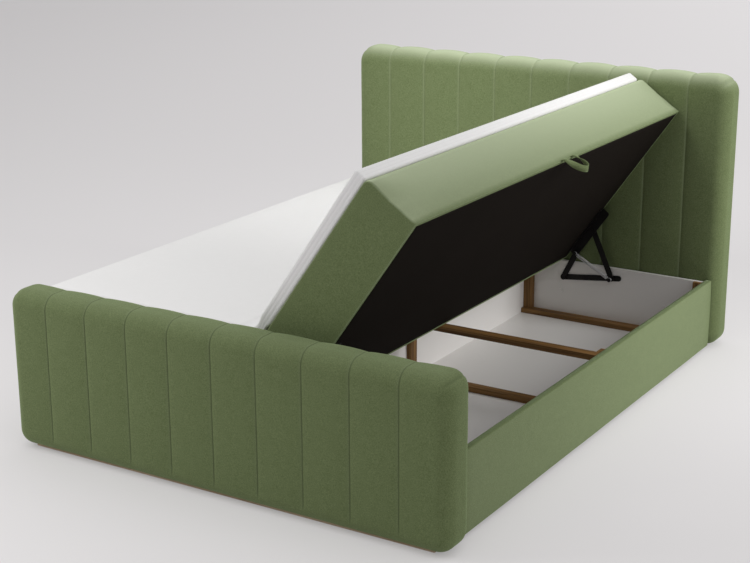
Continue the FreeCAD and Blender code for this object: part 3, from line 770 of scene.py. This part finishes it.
def strap_section(share, forms):
    """Middle and half width of a pull loop's strap, a share of the way from one sewn end to the other."""
    back = 1 - share
    deep = 4 * share * back
    clear = LOOP_CLEAR * (1 - (1 - min(1.0, deep / 0.2)) ** 2)
    weights = (back ** 3, 3 * back * back * share, 3 * back * share * share, share ** 3)
    middle = Vector((forms.lid_width + clear + LOOP_LEAN * deep - LOOP_SEWN_IN,
                     sum(weight * y for weight, y in zip(weights, LOOP_ALONG)),
                     LOOP_ROOT - forms.loop_reach * max(0.0, deep - 0.05)))
    hang = math.radians(64)
    on_edge = Vector((math.sin(hang), 0, math.cos(hang)))
    flat = Vector((0, 1.0 if share < 0.5 else -1.0, 0))
    turn = smooth(clamp(min(share, back) / 0.30)) * math.radians(84)
    return middle, (flat * math.cos(turn) + on_edge * math.sin(turn)) * forms.loop_width / 2


def strap_form(forms):
    """A strap sewn in by its two ends and turned on edge between them, in a loop that clears the rail."""
    bm = bmesh.new()
    middle, half = strap_section(0, forms)
    ends = [bm.verts.new(middle - half), bm.verts.new(middle + half)]
    edge = bm.edges.new(ends)
    steps = 40
    for step in range(1, steps + 1):
        made = bmesh.ops.extrude_edge_only(bm, edges=[edge])["geom"]
        fresh = [part for part in made if isinstance(part, bmesh.types.BMVert)]
        low = next(v for v in fresh if any(e.other_vert(v) is ends[0] for e in v.link_edges))
        high = next(v for v in fresh if v is not low)
        middle, half = strap_section(step / steps, forms)
        low.co, high.co = middle - half, middle + half
        ends = [low, high]
        edge = bm.edges.get(ends)
    return bm


class BED_OT_pull_loops(bpy.types.Operator):
    """Make the pull loops at the outer edges of the mattress halves"""

    bl_idname = "bed.pull_loops"
    bl_label = "Pull loops"

    def execute(self, context):
        forms = context.scene.bed_forms
        for side in SIDES:
            bm = strap_form(forms)
            move_form(bm, lid_place(side, forms))
            loop = new_piece(side + "_pull_loop", bm, "Moss upholstery", side + "_lid")
            thicken(loop, thickness=0.0026, offset=0.0)
            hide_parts(side + "_lid_pull_loop")
        return {"FINISHED"}


# Topper


def pad_form(x0, x1, outer_end, forms):
    """A stretch of the topper along X about its middle plane, open where it joins the next one.

    Two sewn lines run round its edge.
    """
    low, high = FLAT_PAD
    half, thick = high.y, high.z - low.z
    bm = box_form(Vector((x0, -half, -thick / 2)), Vector((x1, half, thick / 2)))
    rounded = edges_along(bm, 0)
    if outer_end:
        rounded += rim_edges(bm, 0, x1)
    round_edges(bm, rounded, forms.pad_round, 5)
    drop_faces(bm, 0, x0)
    if not outer_end:
        drop_faces(bm, 0, x1)
    cut_across(bm, 1, spread(-half + 0.02, half - 0.02, 0.08))
    lines = (-0.0065, 0.0065)
    cut_across(bm, 2, [line + off for line in lines for off in (-0.0018, 0.0, 0.0018)])
    painted_shading = bm.verts.layers.float.new("seam")
    bm.normal_update()
    for v in bm.verts:
        # painted shade along the two sewn lines, which also sink in a little
        if min(abs(v.co.z - line) for line in lines) < SAME_PLACE:
            v[painted_shading] = 0.2
            v.co -= Vector((v.normal.x, v.normal.y, 0)) * 0.0005
    return bm


def fold_form(bend, place, forms):
    """The stretch of the topper that bends, laid flat, with room under it for the fold."""
    bm = pad_form(0.0, bend, False, forms)
    cut_across(bm, 0, spread(0, bend, bend / 28))
    for v in bm.verts:
        v.co.z += forms.fold_hollow * math.sin(math.pi * clamp(v.co.x / bend)) * clamp(-v.co.z / 0.02)
    move_form(bm, place)
    return bm


def half_form(x0, x1, place, forms):
    """The stretch of the topper over one mattress half."""
    bm = pad_form(x0, x1, True, forms)
    cut_across(bm, 0, spread(x0, x1 - 0.02, 0.05))
    move_form(bm, place)
    return bm


def bent_point(goal, bend, first, last, lay):
    """Where a point of the fold lies with the lid open, so that the shut lid lays it at its goal."""
    way = last - first
    share = clamp(goal.x / bend)
    for _ in range(40):
        mixed = Matrix.Identity(4) * (1 - share) + lay * share
        place = mixed.inverted() @ goal
        share += 0.4 * (clamp((place - first).dot(way) / way.length_squared) - share)
    return place


def topper_piece(name, bm, node):
    """Makes a stretch of the topper in place of its CAD node, on no body, with its place baked into its mesh.
    """
    piece = new_piece(name, bm, "White knit")
    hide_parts(node)
    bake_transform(piece)


class BED_OT_topper(bpy.types.Operator):
    """Make the topper: flat over the closed half, bent up along the open one"""

    bl_idname = "bed.topper"
    bl_label = "Topper"

    def execute(self, context):
        forms = context.scene.bed_forms
        low, high = FLAT_PAD
        middle = (low.z + high.z) / 2
        bend = -high.x
        reach = -low.x - bend
        radius = bend / forms.lid_tilt
        turn = Matrix.Rotation(-forms.lid_tilt, 4, "Y")
        up = Matrix.Translation((0, 0, middle + radius)) @ turn @ Matrix.Translation((0, 0, -radius))
        flat = Matrix.Translation((0, 0, middle))
        flat_left = flat @ Matrix.Diagonal((-1.0, 1.0, 1.0, 1.0))
        start, end = flat @ Vector(), up @ Vector()

        inset = (end - start).normalized() * (high.z - middle) * math.sin(forms.lid_tilt / 2)
        first, last = start + inset, end - inset
        lay = Matrix.Translation((bend, 0, middle)) @ turn.inverted() @ Matrix.Translation(-end)
        bm = fold_form(bend, flat, forms)
        for v in bm.verts:
            v.co = bent_point(v.co.copy(), bend, first, last, lay)
        topper_piece("right_topper_fold", bm, "topper_right_bend")

        short = reach - JOINTS["right_topper_pad_slide"]["range_m"][1]
        bm = half_form(0.0, short, up, forms)
        topper_piece("right_topper_pad", bm, "topper_right")

        bm = fold_form(bend, flat_left, forms)
        topper_piece("left_topper_fold", bm, "topper_left_bend")
        bm = half_form(bend, bend + reach, flat_left, forms)
        topper_piece("left_topper_pad", bm, "topper_left")
        return {"FINISHED"}


# Boxes and fittings


class BED_OT_storage_boxes(bpy.types.Operator):
    """Finish the boards, battens and posts of the storage boxes"""

    bl_idname = "bed.storage_boxes"
    bl_label = "Storage boxes"

    def execute(self, context):
        for side in SIDES:
            panels = [side + "_head_panel", side + "_foot_panel", side + "_floor", side + "_rail_board"]
            dress(panels, "White board", 0.0008)
        dress(["centre_divider"], "White board", 0.0008)
        dress(["floor_battens", "top_battens"], "Walnut across", 0.0015)
        dress(["frame_posts"], "Walnut upright", 0.0015)
        dress(["floor_bearers"], "Raw timber")
        dress(["glides"], "Black plastic")
        dress(["board_bolts"], "White board")
        return {"FINISHED"}


def coil_form(size, neck, forms):
    """A close coil along Z with a straight neck at each end."""
    wire, coil = forms.wire_radius, forms.coil_radius
    bm = bmesh.new()
    pitch = (size - 2 * neck) / forms.coil_turns
    steps = 14
    tip = Matrix.Translation((coil, 0, neck)) @ Matrix.Rotation(math.pi / 2, 4, "X")
    bmesh.ops.create_circle(bm, segments=7, radius=wire, matrix=tip)
    bmesh.ops.spin(bm, geom=bm.edges[:], cent=(0, 0, 0), axis=(0, 0, 1), dvec=(0, 0, pitch / steps),
                   angle=2 * math.pi * forms.coil_turns, steps=steps * forms.coil_turns, use_merge=False)
    for at, way in ((0.0, 1), (size, -1)):
        a = Vector((0, 0, at + way * (forms.eye_radius - wire)))
        b = Vector((coil, 0, at + way * neck))
        turn = (b - a).to_track_quat("Z", "Y").to_matrix().to_4x4()
        bmesh.ops.create_cone(bm, cap_ends=True, segments=7, radius1=wire, radius2=wire,
                              depth=(b - a).length + wire, matrix=Matrix.Translation((a + b) / 2) @ turn)
    return bm


def eye_form(at, forms):
    """A spring's ring round its pin."""
    bm = bmesh.new()
    tip = Matrix.Translation((forms.eye_radius, 0, at))
    bmesh.ops.create_circle(bm, segments=7, radius=forms.wire_radius, matrix=tip)
    bmesh.ops.spin(bm, geom=bm.edges[:], cent=(0, 0, at), axis=(0, 1, 0), angle=2 * math.pi, steps=20,
                   use_merge=True)
    return bm


def hang_spring(side, end, fixed, moving, forms):
    """A tension spring between two pins: its coil and the eyes round the pins.

    The coil of the shut half gets a mesh of its own, and its moving eye goes with the lid.
    """
    axis, pin = (moving - fixed).normalized(), Vector((0, 1, 0))
    place = Matrix.Translation(fixed) @ Matrix((pin.cross(axis), pin, axis)).transposed().to_4x4()
    size, neck = (moving - fixed).length, forms.eye_radius + forms.spring_neck
    shut = side == "left"
    body = side + "_lift_springs"
    parts = {"": (coil_form(size, neck, forms), body),
             "_fixed_eye": (eye_form(0.0, forms), body),
             "_moving_eye": (eye_form(size, forms), side + "_lid" if shut else body)}
    for part, (bm, holder) in parts.items():
        move_form(bm, place)
        piece = new_piece(side + "_" + end + "_spring" + part, bm, "Zinc steel", holder)
        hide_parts(side + "_springs")
        if shut and not part:
            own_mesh(piece)


class BED_OT_lift_fittings(bpy.types.Operator):
    """Finish the lift linkage and make its tension springs"""

    bl_idname = "bed.lift_fittings"
    bl_label = "Lift fittings"

    def execute(self, context):
        forms = context.scene.bed_forms
        for side in SIDES:
            bars = [side + "_" + end + "_" + bar for end in ("head", "foot")
                    for bar in ("base_bar", "inner_arm", "outer_arm", "lid_bar")]
            dress(bars, "Black steel", 0.0006)
            dress([side + "_lid_pins"], "Black steel", 0.0005)
            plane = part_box(side + "_springs")[1].y - forms.coil_radius - forms.wire_radius
            fixed = Vector(JOINTS[side + "_spring_pivot"]["pos_m"])
            moving = Vector(JOINTS[side + "_lid_pivot"]["pos_m"])
            for end, y in (("head", plane), ("foot", -plane)):
                fixed.y = moving.y = y
                hang_spring(side, end, fixed, moving, forms)
        dress(["base_pins"], "Black steel", 0.0005)
        return {"FINISHED"}


# Stage


FLOOR_REACH = 600.0  # from the middle of the floor to its sides
FLOOR_GLOW = 0.36  # share of the floor's look that no shadow darkens


def seen_rays(tree):
    """Gives 1 for what is seen, also in metal and through glass, and 0 for light on the bed."""
    ray = add_node(tree, "LightPath").outputs
    seen = ray["Is Camera Ray"]
    for kind in ("Is Glossy Ray", "Is Transmission Ray"):
        seen = add_node(tree, "Math", {0: seen, 1: ray[kind]}, operation="MAXIMUM").outputs[0]
    return seen


def floor_material(colours):
    """A pale floor, shaded off towards the left and seen a little paler far behind the bed."""
    material, tree, shader = blank_material("Studio floor")
    place = add_node(tree, "TexCoord").outputs["Object"]
    axes = add_node(tree, "SeparateXYZ", {"Vector": place}).outputs
    slope = add_node(tree, "MapRange", {"Value": axes["X"], "From Min": -12.0, "From Max": 2.0},
                     interpolation_type="SMOOTHSTEP").outputs["Result"]
    shade = mix_colours(tree, slope, (*colours.floor_shade, 1), (*colours.floor_lit, 1))
    set_inputs(shader, {"Base Color": shade, "Roughness": 0.8, "Specular IOR Level": 0.1})
    far = add_node(tree, "MapRange", {"Value": axes["Y"], "From Max": 12.0, "To Min": 1.0, "To Max": 1.55})
    glow = add_node(tree, "Emission", {"Color": shade, "Strength": far.outputs["Result"]})
    part = add_node(tree, "Math", {0: seen_rays(tree), 1: FLOOR_GLOW}, operation="MULTIPLY")
    both = add_node(tree, "MixShader", {"Fac": part.outputs[0], 1: shader.outputs["BSDF"],
                                        2: glow.outputs["Emission"]})
    set_inputs(tree.nodes["Material Output"], {"Surface": both.outputs["Shader"]})
    return material


def studio_world(stage, colours):
    """Soft light, strongest from above on the right, seen as a pale wall."""
    world = bpy.data.worlds.new("Studio")
    world.use_nodes = True
    tree = world.node_tree
    light = tree.nodes["Background"]
    place = add_node(tree, "TexCoord").outputs["Generated"]
    way = Vector(stage.light_way).normalized()
    toward = add_node(tree, "VectorMath", {0: place, 1: way}, operation="DOT_PRODUCT").outputs["Value"]
    values = {"Value": toward, "From Min": 0.1, "From Max": 0.95,
              "To Min": stage.sky_low, "To Max": stage.sky_high}
    rise = add_node(tree, "MapRange", values, interpolation_type="SMOOTHSTEP")
    set_inputs(light, {"Color": (1.0, 1.0, 1.0, 1), "Strength": rise.outputs["Result"]})
    wall = add_node(tree, "Background", {"Color": (*colours.wall, 1)})
    mix = add_node(tree, "MixShader", {"Fac": seen_rays(tree), 1: light.outputs["Background"],
                                       2: wall.outputs["Background"]})
    set_inputs(tree.nodes["World Output"], {"Surface": mix.outputs["Shader"]})
    return world


def hang_lamp(stage, name):
    """A square soft lamp that points at a place, with the values that the stage has for it."""
    place, aim, size, power, fan = (getattr(stage, name + "_" + value)
                                    for value in ("place", "aim", "size", "power", "spread"))
    lamp = bpy.data.lights.new(name + "_lamp", "AREA")
    lamp.energy = power
    lamp.size = size
    lamp.spread = fan
    panel = bpy.data.objects.new(name + "_lamp", lamp)
    panel.location = place
    panel.rotation_mode = "QUATERNION"
    panel.rotation_quaternion = (Vector(aim) - Vector(place)).to_track_quat("-Z", "Y")
    panel.visible_camera = False
    bpy.context.scene.collection.objects.link(panel)


class BED_OT_stage(bpy.types.Operator):
    """Make the studio floor, the light and the camera"""

    bl_idname = "bed.stage"
    bl_label = "Stage"

    def execute(self, context):
        scene = context.scene
        stage = scene.bed_stage
        scene.view_settings.view_transform = "Standard"
        scene.world = studio_world(stage, scene.bed_colours)

        bm = bmesh.new()
        bmesh.ops.create_grid(bm, x_segments=1, y_segments=1, size=FLOOR_REACH)
        mesh = bpy.data.meshes.new("studio_floor")
        bm.to_mesh(mesh)
        bm.free()
        mesh.materials.append(floor_material(scene.bed_colours))
        floor = bpy.data.objects.new("studio_floor", mesh)
        scene.collection.objects.link(floor)

        for name in ("bed", "side", "front"):
            hang_lamp(stage, name)

        turn, height = stage.camera_turn, stage.camera_height
        level = math.cos(height)
        back = Vector((math.sin(turn) * level, -math.cos(turn) * level, math.sin(height)))
        lens = bpy.data.cameras.new("camera")
        lens.lens = stage.lens
        lens.sensor_width = 36.0
        lens.clip_end = 2000.0
        camera = bpy.data.objects.new("camera", lens)
        facing = (-back).to_track_quat("-Z", "Y").to_matrix().to_4x4()
        roll = Matrix.Rotation(stage.camera_roll, 4, "Z")
        camera.matrix_world = Matrix.Translation(stage.camera_place) @ facing @ roll
        scene.collection.objects.link(camera)
        scene.camera = camera
        return {"FINISHED"}


OPERATORS = (
    BED_OT_padded_boards,
    BED_OT_rail_covers,
    BED_OT_mattress_halves,
    BED_OT_pull_loops,
    BED_OT_topper,
    BED_OT_storage_boxes,
    BED_OT_lift_fittings,
    BED_OT_stage,
)


class BED_PT_parts(bpy.types.Panel):
    """The bed's pieces, in the order in which they are made"""

    bl_idname = "BED_PT_parts"
    bl_label = "Box spring bed"
    bl_space_type = "VIEW_3D"
    bl_region_type = "UI"
    bl_category = "Bed"

    def draw(self, context):
        for operator in OPERATORS:
            self.layout.operator(operator.bl_idname)
        for group in (context.scene.bed_colours, context.scene.bed_forms, context.scene.bed_stage):
            box = self.layout.box()
            for name in group.__annotations__:
                box.prop(group, name)


CLASSES = (BedColours, BedForms, BedStage, *OPERATORS, BED_PT_parts)


def register():
    for cls in CLASSES:
        bpy.utils.register_class(cls)
    bpy.types.Scene.bed_colours = PointerProperty(type=BedColours)
    bpy.types.Scene.bed_forms = PointerProperty(type=BedForms)
    bpy.types.Scene.bed_stage = PointerProperty(type=BedStage)


def unregister():
    del bpy.types.Scene.bed_stage
    del bpy.types.Scene.bed_forms
    del bpy.types.Scene.bed_colours
    for cls in reversed(CLASSES):
        bpy.utils.unregister_class(cls)


def main():
    register()
    bpy.ops.bed.padded_boards()
    bpy.ops.bed.rail_covers()
    bpy.ops.bed.mattress_halves()
    bpy.ops.bed.pull_loops()
    bpy.ops.bed.topper()
    bpy.ops.bed.storage_boxes()
    bpy.ops.bed.lift_fittings()
    bpy.ops.bed.stage()


if __name__ == "__main__":
    main()
